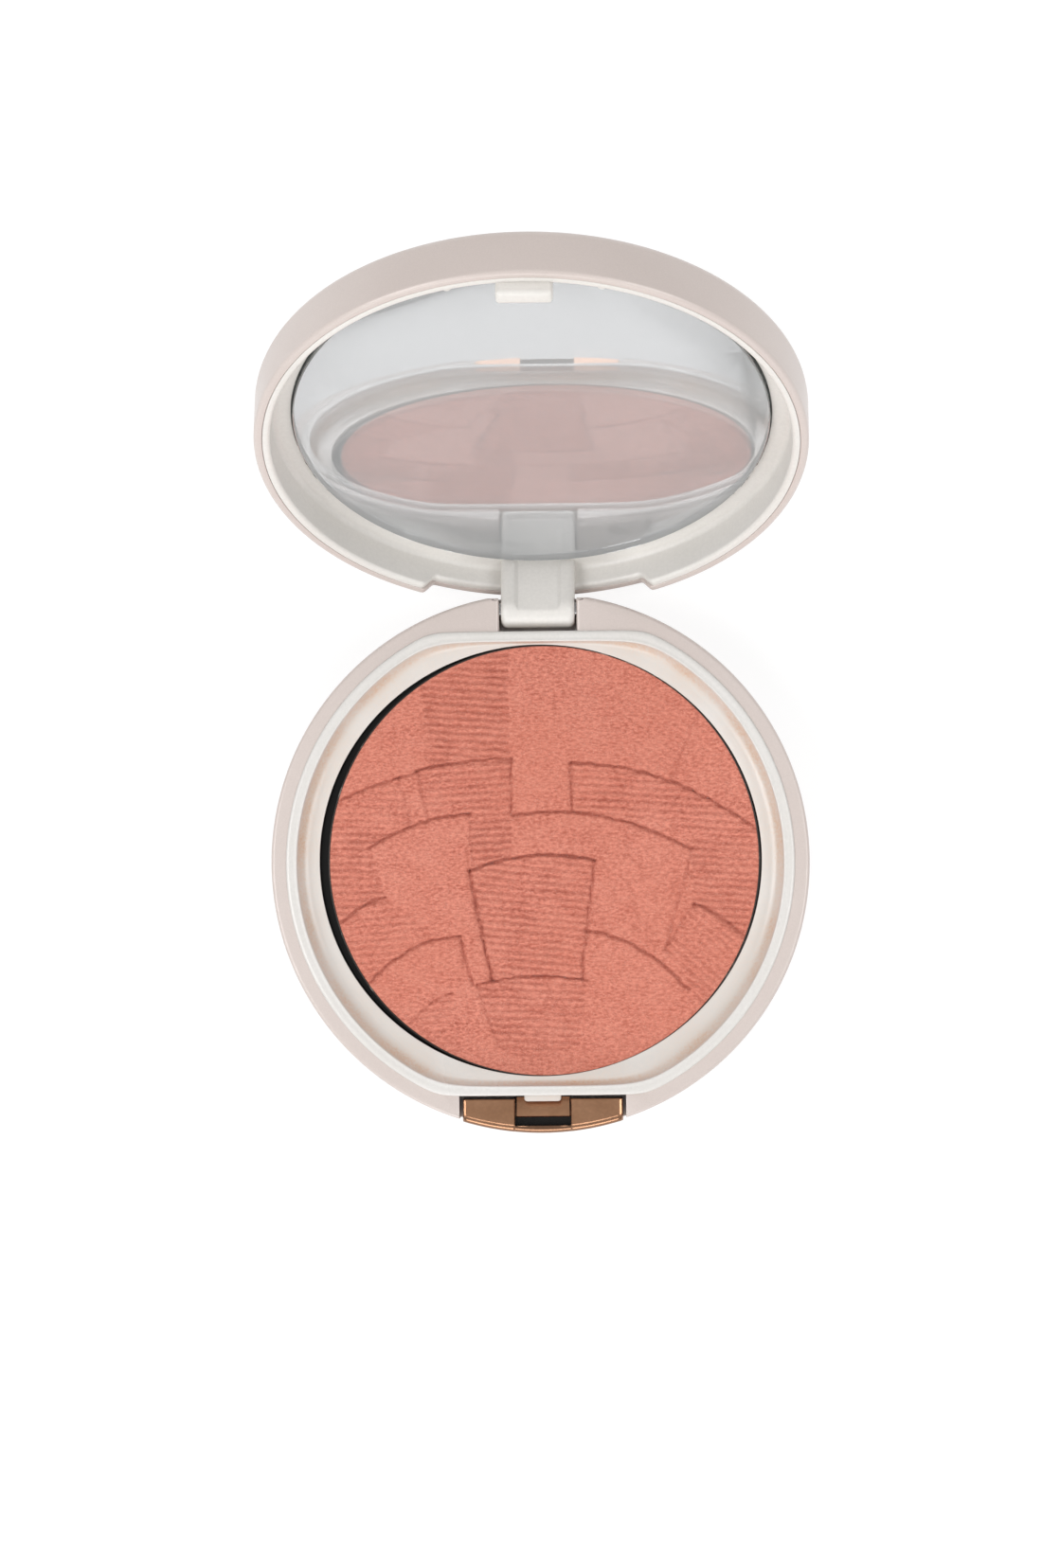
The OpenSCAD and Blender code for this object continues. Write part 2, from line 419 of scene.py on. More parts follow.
def grained(name, grain_scale, cloud_scale, first, second, cloud=None, stretch=None):
    """New material whose colour drifts from first to second with a cloudy grain. Gives it with
    its tree, its shader and the grain."""
    material, tree, shader = new_material(name)
    place = place_in(tree)
    if stretch:
        mapping = add_node(tree, "ShaderNodeMapping", Scale=stretch)
        tree.links.new(place, mapping.inputs["Vector"])
        place = mapping.outputs["Vector"]
    grain = use_group(tree, grain_group, Grain_Scale=grain_scale, Cloud_Scale=cloud_scale)
    tree.links.new(place, grain.inputs["Place"])
    mask = grain.outputs["Cloud"]
    if cloud:
        mask = spread(tree, mask, *cloud, 0, 1)
    tree.links.new(blend_colors(tree, mask, first, second), shader.inputs["Base Color"])
    return material, tree, shader, grain


def rough_by_grain(tree, shader, grain, low, high, source=("Height", 0.3, 0.7)):
    """Roughness that goes from low to high with the grain."""
    output, from_low, from_high = source
    tree.links.new(spread(tree, grain.outputs[output], from_low, from_high, low, high),
                   shader.inputs["Roughness"])


def moulded_plastic(name, pale, deep, roughness, grain_scale, grain_height, coat=0.0, dust_bounce_and_well_shade=0.0):
    """Moulded plastic with a fine grain and cloudy colour. Where dust is asked for, it also gets
    a warm tint that is partly loose powder and partly painted bounce light from the powder,
    and painted shade that makes it black below the top of the well."""
    material, tree, shader = new_material(name)
    place = place_in(tree)
    grain = use_group(tree, grain_group, Grain_Scale=grain_scale)
    tree.links.new(place, grain.inputs["Place"])
    color = blend_colors(tree, spread(tree, grain.outputs["Cloud"], 0.35, 0.65, 0, 1), pale, deep)
    color = blend_colors(tree, spread(tree, grain.outputs["Height"], 0.3, 0.7, 0.12, 0),
                         color, tuple(0.55 * level for level in deep))
    # Warm tint, partly loose powder and partly painted bounce light from the powder; then painted
    # shade, black in the well
    if dust_bounce_and_well_shade:
        layer = use_group(tree, dust_and_bounce_group, Amount=dust_bounce_and_well_shade)
        tree.links.new(place, layer.inputs["Place"])
        color = blend_colors(tree, layer.outputs["Mask"], color, DUST_AND_BOUNCE_TINT)
        # Painted shade: the plastic turns black below the top of the well, where the gap round the
        # pan lies in shade
        painted_well_shade = spread(tree, height_of(tree, place), *WELL_SHADE_TOP, 1.0, 0.0)
        color = blend_colors(tree, painted_well_shade, color, BLACK)
    tree.links.new(color, shader.inputs["Base Color"])
    rough_by_grain(tree, shader, grain, roughness - 0.04, roughness + 0.05, ("Cloud", 0.3, 0.7))
    shader.inputs["Coat Weight"].default_value = coat
    shader.inputs["Coat Roughness"].default_value = 0.12
    bump(tree, shader, grain.outputs["Height"], grain_height)
    return material


POWDER_PALE = (0.68, 0.232, 0.163)
POWDER_DEEP = (0.37, 0.085, 0.052)
# Colour of the warm tint: loose powder, and painted bounce light from the powder
DUST_AND_BOUNCE_TINT = (0.60, 0.37, 0.23)
# Heights between which painted shade darkens the powder, fullest at the lower one in the rib
# valleys and seams
FACE_Z = (cake_z - 0.1) * MM
GROOVE_SHADE_Z = (cake_z - 0.36) * MM


def pearl_plastic():
    """Pinkish beige pearl lacquer with fine flakes."""
    material = moulded_plastic("pearl_beige", (0.615, 0.54, 0.505), (0.598, 0.521, 0.486),
                               0.36, 5200.0, 0.000006, coat=0.25)
    tree = material.node_tree
    shader = tree.nodes["Principled BSDF"]
    flakes = add_node(tree, "ShaderNodeTexVoronoi", Scale=7000.0)
    tree.links.new(place_in(tree), flakes.inputs["Vector"])
    tree.links.new(spread(tree, flakes.outputs["Distance"], 0.0, 0.5, 0.35, 0.0),
                   shader.inputs["Metallic"])
    return material


def pressed_powder():
    """Coral pressed powder: fine grain, darker in its rib valleys and seams with painted shade,
    and a pearl shimmer.
    """
    material, tree, shader = new_material("coral_pressed_powder")
    place = place_in(tree)
    stretch = add_node(tree, "ShaderNodeMapping", Scale=(0.55, 1.0, 1.0))
    tree.links.new(place, stretch.inputs["Vector"])
    grain = use_group(tree, grain_group, Grain_Scale=3000.0, Cloud_Scale=90.0)
    coarse = use_group(tree, grain_group, Grain_Scale=1500.0, Cloud_Scale=420.0)
    for texture in (grain, coarse):
        tree.links.new(stretch.outputs["Vector"], texture.inputs["Place"])
    color = blend_colors(tree, spread(tree, grain.outputs["Height"], 0.32, 0.68, 0, 1),
                         POWDER_DEEP, POWDER_PALE)
    color = blend_colors(tree, spread(tree, coarse.outputs["Cloud"], 0.35, 0.7, 0.0, 0.35),
                         color, (0.68, 0.26, 0.185))
    color = blend_colors(tree, spread(tree, grain.outputs["Cloud"], 0.35, 0.7, 0.0, 0.3),
                         color, (0.56, 0.16, 0.098))
    # Painted shade: darkens the powder in its rib valleys and seams, below its face
    painted_groove_shade = spread(tree, height_of(tree, place), GROOVE_SHADE_Z, FACE_Z, 0.6, 0.0)
    color = blend_colors(tree, painted_groove_shade, color, (0.30, 0.066, 0.040))
    flakes = add_node(tree, "ShaderNodeTexVoronoi", Scale=5200.0)
    tree.links.new(place, flakes.inputs["Vector"])
    shimmer = spread(tree, flakes.outputs["Distance"], 0.0, 0.28, 0.75, 0.0)
    color = blend_colors(tree, shimmer, color, (0.88, 0.54, 0.43))
    tree.links.new(color, shader.inputs["Base Color"])
    tree.links.new(spread(tree, flakes.outputs["Distance"], 0.0, 0.3, 0.35, 0.75),
                   shader.inputs["Roughness"])
    shader.inputs["Sheen Weight"].default_value = 0.45
    shader.inputs["Sheen Roughness"].default_value = 0.35
    shader.inputs["Sheen Tint"].default_value = (1.0, 0.86, 0.80, 1)
    height = add_node(tree, "ShaderNodeMath", operation="MULTIPLY_ADD")
    height.inputs[1].default_value = 0.6
    tree.links.new(coarse.outputs["Height"], height.inputs[0])
    tree.links.new(grain.outputs["Height"], height.inputs[2])
    bump(tree, shader, height.outputs["Value"], 0.00012)
    return material


PLATED_RADIUS = (0.0361, 0.0363)
PLATED_HEIGHT = (0.0062, 0.0069)
BAND_FOOT = (0.0077, 0.0079)
BAND_TOP = (0.0090, 0.00925)


def plated_bronze():
    """Bronze vacuum metallising: darker on the front band, and gone deep in the slot."""
    material, tree, shader = new_material("bronze_metallised")
    place = place_in(tree)
    grain = use_group(tree, grain_group, Grain_Scale=2500.0, Cloud_Scale=260.0)
    tree.links.new(place, grain.inputs["Place"])
    color = blend_colors(tree, spread(tree, grain.outputs["Cloud"], 0.35, 0.65, 0, 1),
                         (0.62, 0.335, 0.195), (0.55, 0.29, 0.165))
    height = height_of(tree, place)
    flat = add_node(tree, "ShaderNodeVectorMath", operation="MULTIPLY")
    flat.inputs[1].default_value = (1, 1, 0)
    tree.links.new(place, flat.inputs[0])
    radius = add_node(tree, "ShaderNodeVectorMath", operation="LENGTH")
    tree.links.new(flat.outputs["Vector"], radius.inputs[0])
    outer = spread(tree, radius.outputs["Value"], *PLATED_RADIUS, 0.0, 1.0)
    upper = spread(tree, height, *PLATED_HEIGHT, 0.0, 1.0)
    plated = combined(tree, "MAXIMUM", outer, upper)
    above_ramp = spread(tree, height, *BAND_FOOT, 0.0, 1.0)
    below_top = spread(tree, height, *BAND_TOP, 1.0, 0.0)
    band = combined(tree, "MULTIPLY", above_ramp, below_top)
    color = blend_colors(tree, band, color, (0.30, 0.165, 0.10))
    tree.links.new(blend_colors(tree, plated, BLACK, color), shader.inputs["Base Color"])
    tree.links.new(plated, shader.inputs["Metallic"])
    rough_by_grain(tree, shader, grain, 0.20, 0.27, ("Height", 0.35, 0.65))
    bump(tree, shader, grain.outputs["Height"], 0.000004)
    return material


def tinplate():
    """Pressed tinplate with a dark lacquer, rubbed through in places."""
    material, tree, shader, grain = grained(
        "dark_lacquered_tinplate", 900.0, 500.0, (0.022, 0.018, 0.015), (0.16, 0.14, 0.12),
        cloud=(0.62, 0.72))
    rough_by_grain(tree, shader, grain, 0.32, 0.5)
    shader.inputs["Metallic"].default_value = 0.2
    bump(tree, shader, grain.outputs["Height"], 0.000008)
    return material


def pin_steel():
    """Drawn steel wire with fine lines along it."""
    material, tree, shader, grain = grained(
        "drawn_steel", 6000.0, 300.0, (0.56, 0.56, 0.56), (0.46, 0.46, 0.47),
        stretch=(0.05, 1.0, 1.0))
    rough_by_grain(tree, shader, grain, 0.22, 0.36)
    shader.inputs["Metallic"].default_value = 1.0
    bump(tree, shader, grain.outputs["Height"], 0.000003)
    return material


def mirror_glass_material():
    """Glass with a slight milkiness, which comes from a Transmission Weight below 1."""
    material, _, shader, _ = grained(
        "float_glass", 1200.0, 25.0, (0.90, 0.91, 0.91), (0.88, 0.895, 0.89))
    shader.inputs["Roughness"].default_value = 0.0
    shader.inputs["Transmission Weight"].default_value = 0.7
    shader.inputs["IOR"].default_value = 1.52
    return material


def silvering():
    """Silver coat behind the glass, its colour faintly cloudy."""
    material, _, shader, _ = grained(
        "mirror_silver", 700.0, 45.0, (0.70, 0.70, 0.72), (0.685, 0.685, 0.705))
    shader.inputs["Metallic"].default_value = 1.0
    shader.inputs["Roughness"].default_value = 0.0
    return material


def backing_paint():
    """Dark grey-green backing paint, dull and lumpy."""
    material, tree, shader, grain = grained(
        "backing_paint", 900.0, 350.0, (0.012, 0.016, 0.015), (0.05, 0.06, 0.055),
        cloud=(0.4, 0.6))
    rough_by_grain(tree, shader, grain, 0.35, 0.6)
    bump(tree, shader, grain.outputs["Height"], 0.00003)
    return material


def clear_glue():
    """Dried hot-melt spot, milky and lumpy."""
    material, tree, shader, grain = grained(
        "dried_glue", 500.0, 200.0, (0.62, 0.56, 0.42), (0.50, 0.44, 0.30))
    shader.inputs["Roughness"].default_value = 0.3
    bump(tree, shader, grain.outputs["Height"], 0.00004)
    return material


def film_material():
    """White adhesive film with a paper-like tooth."""
    material, tree, shader, grain = grained(
        "adhesive_film", 3000.0, 150.0, (0.74, 0.74, 0.72), (0.66, 0.66, 0.64))
    shader.inputs["Roughness"].default_value = 0.6
    bump(tree, shader, grain.outputs["Height"], 0.00001)
    return material


FLOOR_GLOW = 0.78


def floor_material():
    """Light table: an evenly glowing matt sheet, which leaves hardly any shadow."""
    material, _, shader, _ = grained(
        "light_table", 300.0, 3.0, (0.26, 0.26, 0.26), (0.25, 0.25, 0.25))
    shader.inputs["Roughness"].default_value = 0.9
    shader.inputs["Specular IOR Level"].default_value = 0.1
    shader.inputs["Emission Color"].default_value = (1, 1, 1, 1)
    shader.inputs["Emission Strength"].default_value = FLOOR_GLOW
    return material


pearl = pearl_plastic()
# Ivory frame: loose powder and painted warm bounce light from the powder on its cove, and painted
# shade that makes it black below the top of the well
ivory = moulded_plastic("ivory_plastic", (0.70, 0.68, 0.655), (0.675, 0.65, 0.62), 0.30,
                        2600.0, 0.000004, coat=0.15, dust_bounce_and_well_shade=1.5)
milky = moulded_plastic("milky_plastic", (0.74, 0.715, 0.68), (0.71, 0.685, 0.648), 0.38,
                        2200.0, 0.000003, coat=0.06)


# ---------------------------------------------------------------- base


SOFT_TURN = 46
TIGHT_TURN = 90


def soft_limit(radius, chord_back, chord_front, angle, sharpness=SOFT_TURN):
    """Radius, at an angle, of a circle whose back and front are cut straight, blended softly."""
    along = math.sin(angle)
    chord = chord_back if along > 0 else chord_front
    cut = (abs(along) / chord) ** sharpness
    return (radius ** -sharpness + cut) ** (-1 / sharpness)


# Outlines of the frame: radius, and the distance of its straight back and front from the middle
LIP = (34.5, hinge_wall_y + 0.06, 31.6)
COVE_EDGE = (33.0, 29.95, 30.3)
COVE_FOOT = (31.0, 29.7, 29.25)
SEAM = (34.2, hinge_wall_y - 0.2, 31.4)
WELL_HALF_W = 30.02
WELL_NARROWING = 0.7
WELL_BACK = 0.25
COVE_DEPTH = 1.9
SHELF_Z = base_h - 2
WELL_FLOOR_Z = 3.2
SKIRT_Z = 1.2
FRAME_T = 0.6
LATCH_WALL_Y = 31.6

# Bead along the top of the frame. Places are shares of its width inwards from the lip, and
# drops are below its crest.
CREST_SHARE = 0.34
BEAD_POINTS = ((0.52, 0.03), (0.66, 0.08), (0.8, 0.04))
BEAD_EDGE_R = 0.2


def frame_profile(angle):
    """Section of the frame: lip, bead, cove, shelf, well, and the skirt below."""
    lip = soft_limit(*LIP, angle, TIGHT_TURN)
    edge = soft_limit(*COVE_EDGE, angle)
    foot = soft_limit(*COVE_FOOT, angle)
    along = math.sin(angle)
    well = min(WELL_HALF_W - WELL_NARROWING * along ** 2 + WELL_BACK * along, foot - 0.05)
    skirt = soft_limit(*SEAM, angle, TIGHT_TURN)
    width = lip - edge
    cove_top = SHELF_Z + COVE_DEPTH
    crest = [
        (lip - CREST_SHARE * width * (1 - math.cos(turn)),
         base_h + (bead_z - base_h) * math.sin(turn))
        for turn in np.linspace(0, math.pi / 2, 7)
    ]
    bead = [(lip - share * width, bead_z - drop) for share, drop in BEAD_POINTS]
    inner_edge = [
        (edge + BEAD_EDGE_R * (1 - math.sin(turn)),
         bead_z - 0.02 - BEAD_EDGE_R * (1 - math.cos(turn)))
        for turn in np.linspace(0, math.pi / 2, 5)
    ]
    cove = [
        (foot + (edge - foot) * math.cos(turn), cove_top - COVE_DEPTH * math.sin(turn))
        for turn in np.linspace(0, math.pi / 2, 9)
    ]
    below = SHELF_Z - FRAME_T - 0.6
    rest = [
        (well + 0.12, SHELF_Z), (well + 0.03, SHELF_Z - 0.04), (well, SHELF_Z - 0.14),
        (well, WELL_FLOOR_Z), (0, WELL_FLOOR_Z), (0, WELL_FLOOR_Z - 1),
        (well + FRAME_T, WELL_FLOOR_Z - 1), (well + FRAME_T, below),
        (skirt - FRAME_T, below), (skirt - FRAME_T, SKIRT_Z), (skirt, SKIRT_Z),
        (skirt, base_h - 0.05),
    ]
    return crest + bead + inner_edge + cove + rest


SNAP_HALF_W = 2.5
SNAP_REACH = 0.8
SNAP_HEIGHTS = (base_h - 1.1, base_h - 0.3)


def snap_lip():
    """Small shelf at the front that the lid's catch hooks under, its corners rounded."""
    half, reach = SNAP_HALF_W, SNAP_REACH
    low, high = SNAP_HEIGHTS
    outline = filleted([
        (-half, -LATCH_WALL_Y + 0.5, 0), (-half, -LATCH_WALL_Y - reach, 0.4),
        (half, -LATCH_WALL_Y - reach, 0.4), (half, -LATCH_WALL_Y + 0.5, 0),
    ])
    middle = Vector((0, -LATCH_WALL_Y))
    inset = [middle + (point - middle) * 0.96 for point in outline]
    levels = ((inset, low), (outline, low + 0.12), (outline, high - 0.14), (inset, high))
    sections = [[(x, y, z) for x, y in ring] for ring, z in levels]
    return skin(sections, round_sections=False, caps=True)


def make_base_frame():
    """Inner moulding of the base round the powder."""
    bm = skin(revolved(frame_profile, 512))
    join(bm, snap_lip())
    return to_object("base_inner_frame", bm, 50)


SHELL_EDGE = 1.5
SHELL_WALL = 1.1
SHELL_FLOOR = 1.2
SLOT_W = 10.5
SLOT_FLOOR_Z = 4.4
RECESS_W = 22.6
RECESS_FLOOR_Z = 3.2
SOLID_WITHIN_R = 32.5
WALL_BLEND = 1.5
PIN_BORE_R = 1.0
PIN_BORE_START_X = -9
PIN_BORE_END_X = 37
EAR_EDGE = 0.42
LATCH_EDGE = 0.15


def shell_profile(angle):
    """Section of the base's outer moulding, which is solid where the frame is cut straight."""
    seam = soft_limit(*SEAM, angle, TIGHT_TURN)
    share = min(max((seam - SOLID_WITHIN_R) / WALL_BLEND, 0.0), 1.0)
    wall = seam + (case_r - SHELL_WALL - SEAM[0]) * share
    outline = filleted([
        (0, 0, 0), (case_r, 0, SHELL_EDGE), (case_r, base_h, 0.5), (seam, base_h, 0),
        (seam, base_h - 2, 0), (wall, base_h - 2.05, 0), (wall, SHELL_FLOOR, 0),
        (0, SHELL_FLOOR, 0),
    ], 6)
    return [tuple(point) for point in outline]


def pin_bore(radius, start_x, end_x):
    """Cutter for a bore along the hinge axis."""
    length = end_x - start_x
    bm = bmesh.new()
    bmesh.ops.create_cone(bm, cap_ends=True, segments=40, radius1=radius, radius2=radius,
                          depth=length)
    bmesh.ops.rotate(bm, matrix=Matrix.Rotation(math.pi / 2, 3, "Y"), verts=bm.verts)
    bmesh.ops.translate(bm, vec=(start_x + length / 2, hinge.y, hinge.z), verts=bm.verts)
    return bm


def make_base_shell():
    """Outer moulding of the base, with its hinge slot and latch recess cut and softened."""
    far = case_r + 1
    bm = carved(skin(revolved(shell_profile, 256), round_points=False), [
        box_between((-SLOT_W / 2, hinge_wall_y - 1, SLOT_FLOOR_Z), (SLOT_W / 2, far, far)),
        box_between((-far, shell_high.y, -1), (far, far, far)),
        box_between((-RECESS_W / 2, -far, RECESS_FLOOR_Z),
                    (RECESS_W / 2, -LATCH_WALL_Y + 1, far)),
        pin_bore(PIN_BORE_R, PIN_BORE_START_X, PIN_BORE_END_X),
    ])
    ears, latch = [], []
    for edge in sharp_edges(bm, 50):
        if min(vert.co.z for vert in edge.verts) <= RECESS_FLOOR_Z + 0.1:
            continue
        middle = (edge.verts[0].co + edge.verts[1].co) / 2
        if middle.y > hinge_wall_y and abs(middle.x) < SLOT_W / 2 + 0.1:
            ears.append(edge)
        if middle.y < -LATCH_WALL_Y + 0.5:
            latch.append(edge)
    soften(bm, ears, EAR_EDGE, 4)
    soften(bm, [edge for edge in latch if edge.is_valid], LATCH_EDGE, 2)
    return to_object("base_outer_shell", bm, 40)


BUTTON_BEVEL = 0.42
VALLEY_W = 7.6
VALLEY_BEVEL = 0.2
RAMP_LOW_Z = base_h - 2.6
RAMP_HIGH_Z = base_h - 2
RAMP_END = 34.6
SLOT_END = 35.75
TRAP_FLOOR_Z = button_low.z + 1.8
FRONT_BAND = 0.95
GROOVE_W = 0.22
GROOVE_T = 0.9
BAND_ROUNDING = 0.8
BAND_DROP_IN_VALLEY = 0.22

# Nib under the button: half width, half thickness and height
NIB = (3.0, 0.6, 0.8)
NIB_Y = -case_r + 2.9


def button_section(sideways, lowered, in_valley):
    """Outline of the button at a distance from its middle, lowered for bevels and grooves."""
    back = -button_high.y
    front = math.sqrt(button_low.y ** 2 - sideways ** 2)
    top = button_high.z - (0 if in_valley else lowered)
    foot = button_low.z + 0.8
    if in_valley:
        low, high = RAMP_LOW_Z - lowered, RAMP_HIGH_Z - lowered
        over = [(back - 0.2, low - 0.02), (back, low), (RAMP_END - 0.12, high),
                (RAMP_END, high - 0.12), (RAMP_END, TRAP_FLOOR_Z), (SLOT_END, TRAP_FLOOR_Z),
                (SLOT_END, top - 0.3)]
        wall_top = top - BAND_DROP_IN_VALLEY
    else:
        flat_end = front - FRONT_BAND
        over = [(back, top - 0.12), (back + 0.12, top)]
        over += [(back + 0.12 + (flat_end - back) * share, top) for share in (0.3, 0.5, 0.7, 0.8)]
        over += [(flat_end - 0.02, top)]
        wall_top = top
    reach = FRONT_BAND - 0.14
    rounding = [
        (front - reach * (1 - math.sin(turn)),
         wall_top - 0.12 - BAND_ROUNDING * (1 - math.cos(turn)))
        for turn in np.linspace(0, math.pi / 2, 7)
    ]
    under = [(front, foot + 0.25), (front - 0.25, foot), (over[0][0], foot)]
    return [(sideways, -y, z) for y, z in over + rounding + under]


def make_button():
    """Latch button: two bevelled cheeks, and the valley with its ramp and its deep slot."""
    half = button_high.x
    inner = VALLEY_W / 2
    cheek = [(inner, VALLEY_BEVEL), (inner + 0.5 * VALLEY_BEVEL, 0.35 * VALLEY_BEVEL),
             (inner + VALLEY_BEVEL, 0.0)]
    cheek += [(x, 0.0) for x in np.linspace(inner + 0.8, half - BUTTON_BEVEL - 0.3, 9)]
    cheek += [(half - BUTTON_BEVEL, 0.0), (half - 0.4 * BUTTON_BEVEL, 0.3 * BUTTON_BEVEL),
              (half, BUTTON_BEVEL)]
    bed = inner - GROOVE_W
    valley = [(-inner + 0.02, GROOVE_T), (-bed - 0.02, GROOVE_T)]
    valley += [(x, 0.0) for x in np.linspace(-bed, bed, 9)]
    valley += [(bed + 0.02, GROOVE_T), (inner - 0.02, GROOVE_T)]
    stations = [(-x, drop, False) for x, drop in reversed(cheek)]
    stations += [(x, drop, True) for x, drop in valley]
    stations += [(x, drop, False) for x, drop in cheek]
    bm = skin([button_section(*station) for station in stations], round_sections=False, caps=True)
    join(bm, rounded_block((-NIB[0], NIB_Y - NIB[1], button_low.z),
                           (NIB[0], NIB_Y + NIB[1], button_low.z + NIB[2] + 0.2), 0.1, 2))
    return to_object("latch_push_button", bm, 22)


PAN_WALL = 0.2


def make_pan():
    """Pressed tin pan with a rounded foot and a curled rim."""
    low, high, wall = pan_low.z, pan_high.z, PAN_WALL
    profile = filleted([
        (0, low, 0), (pan_r, low, 0.8), (pan_r, high, 0.09), (pan_r - wall, high, 0.09),
        (pan_r - wall, low + wall, 0.5), (0, low + wall, 0),
    ])
    bm = skin(revolved(lambda angle: profile, 256, pan_middle))
    return to_object("powder_pan", bm, 40)


# ---------------------------------------------------------------- powder

# How far the cake's side stands in from the pan's outside; it hides the pan's rim
CAKE_GAP = 0.05
CAKE_ROWS = 410
CAKE_COLUMNS = 200
RIB_PITCH = 0.98
RIB_HEIGHT = 0.26
SEAM_DEPTH = 0.4
SEAM_W = 0.21
PATCH_STEP = 0.05
PATCH_EDGE = 0.3

# Pressed patches, in millimetres from the middle of the cake. Each has its top left, top
# right, bottom right and bottom left corner, the bow of its top and of its bottom, the
# tilt of its ribs in degrees (None where it is plain), how deep its ribs are, and how
# deep the seams along its top, left and right are.
PATCHES = [
    (((-17, 29), (-4.5, 29), (-4.5, 14.5), (-15.5, 13.5)), 0, 0, -4, 0.9, (0, 0, 0)),
    (((11, 22), (21, 20), (17.5, 11), (9, 13)), 1, 0, -35, 0.45, (0, 0, 0)),
    (((21, 20), (31, 24), (32, 4), (17.5, 11)), 0, 0, None, 0, (0, 0.4, 0)),
    (((-30, 7), (-19.5, 11.4), (-17.5, 4.2), (-28, 1)), 0.6, 0, -2, 0.7, (0.9, 0, 0)),
    (((-30, 4), (-18.4, 4.4), (-21, -5), (-30, -11)), 0, 0.5, -2, 0.9, (0, 0, 0)),
    (((-30, -10.5), (-21.4, -4.8), (-13.5, -10.5), (-24.5, -17.5)), 1, 0, 4, 0.8, (1, 0, 0)),
    (((-19.6, 11.4), (-17.2, 12.2), (-15.6, 5.2), (-17.9, 4.6)), 0, 0, None, 0, (0.7, 0.3, 0)),
    (((-17.2, 12.4), (-4.4, 14), (-4.4, 5.6), (-15.6, 5.4)), 0.4, 0, 3, 1, (1, 0.6, 0.8)),
    (((-10.4, 6.4), (-4.4, 6.4), (-4.4, -1.5), (-10.2, -1.5)), 0, 0, 3, 1, (0, 0.5, 0)),
    (((3.7, 13.2), (30, 3.2), (30, 0), (3.9, 6.4)), 2.6, 1.6, -4, 1, (1, 0.8, 0)),
    (((20, 3.2), (31, 2.2), (28, -12), (20.2, -6)), 0, 0, -4, 0.9, (0, 0, 0)),
    (((-23.7, 2.1), (-10.2, 6.4), (-9.2, -11), (-21.5, -5)), 1, 0, None, 0, (1, 0.3, 0.4)),
    (((-4.3, 6.2), (20.1, 1.4), (16.4, -12.2), (4.8, -9.6)), 2.2, 0.6, 84, 0.25, (1, 0, 0.5)),
    (((20.2, -6), (27.6, -11.2), (21.5, -20.5), (16.3, -12.2)), 0.7, 0, -42, 0.85, (1, 0.6, 0)),
    (((4.9, -9.6), (19.4, -17.6), (15, -30), (4.9, -30)), 1.9, 0, None, 0, (1, 0, 0)),
    (((-24.4, -16.8), (-11.6, -10.2), (-9.6, -30), (-17, -30)), 1.7, 0, None, 0, (1, 0, 0.3)),
    (((-18.5, -21.8), (-12.6, -17.8), (-10.8, -30), (-14.5, -30)), 0.7, 0, 5, 0.6, (0.6, 0, 0.2)),
    (((-11.6, -10.2), (-7.6, -10.2), (-7, -16.4), (-9.9, -16.8)), 0, 0.2, None, 0, (0, 0.9, 0)),
    (((-9.4, -16.8), (5.6, -16.4), (4.4, -25), (-6.4, -25.4)), 1, -1.4, -3, 0.8, (0.9, 0.4, 0)),
    (((-10.3, -1.3), (6.8, -0.1), (4.9, -16.2), (-7.2, -16.2)), 1.4, 0.8, -6, 1, (1.2, 1.2, 0.8)),
]


def bowed(start, end, bow, steps=10):
    """Points from start towards end along a shallow arc that rises by bow."""
    start, end = np.array(start, float), np.array(end, float)
    shares = np.arange(steps)[:, None] / steps
    rise = np.array((0.0, 4.0 * bow)) * shares * (1 - shares)
    return start + (end - start) * shares + rise


def distance_to(x, y, points):
    """Distance from each place to an open line of points."""
    nearest = np.full(x.shape, 1e9)
    for (ax, ay), (bx, by) in zip(points[:-1], points[1:]):
        dx, dy = bx - ax, by - ay
        share = np.clip(((x - ax) * dx + (y - ay) * dy) / (dx * dx + dy * dy), 0, 1)
        nearest = np.minimum(nearest, np.hypot(x - ax - share * dx, y - ay - share * dy))
    return nearest


def is_inside(x, y, outline):
    """True where a place lies inside a closed outline."""
    crossings = np.zeros(x.shape, bool)
    ahead = np.roll(outline, -1, axis=0)
    for (ax, ay), (bx, by) in zip(outline, ahead):
        if ay == by:
            continue
        crosses = (ay > y) != (by > y)
        crossings ^= crosses & (x < (bx - ax) * (y - ay) / (by - ay) + ax)
    return crossings


def ragged(x, y, pitch, seed):
    """Smooth random height from -1 to 1, with lumps about one pitch wide."""
    grid = np.random.default_rng(seed).uniform(-1, 1, (160, 160))
    u = (x + 40) / pitch % 158
    v = (y + 40) / pitch % 158
    i, j = u.astype(int), v.astype(int)
    s, t = eased(u - i), eased(v - j)
    near = grid[i, j] * (1 - s) + grid[i + 1, j] * s
    far = grid[i, j + 1] * (1 - s) + grid[i + 1, j + 1] * s
    return near * (1 - t) + far * t


def ribs(x, y, tilt, depth):
    """Rounded ribs with narrow valleys between them."""
    turn = math.radians(tilt)
    across = y * math.cos(turn) - x * math.sin(turn) + 0.10 * ragged(x, y, 1.6, 5)
    valley = np.abs(np.cos(math.pi * across / RIB_PITCH)) ** 3
    return -RIB_HEIGHT * depth * valley * (0.85 + 0.3 * ragged(x, y, 2.4, 6))


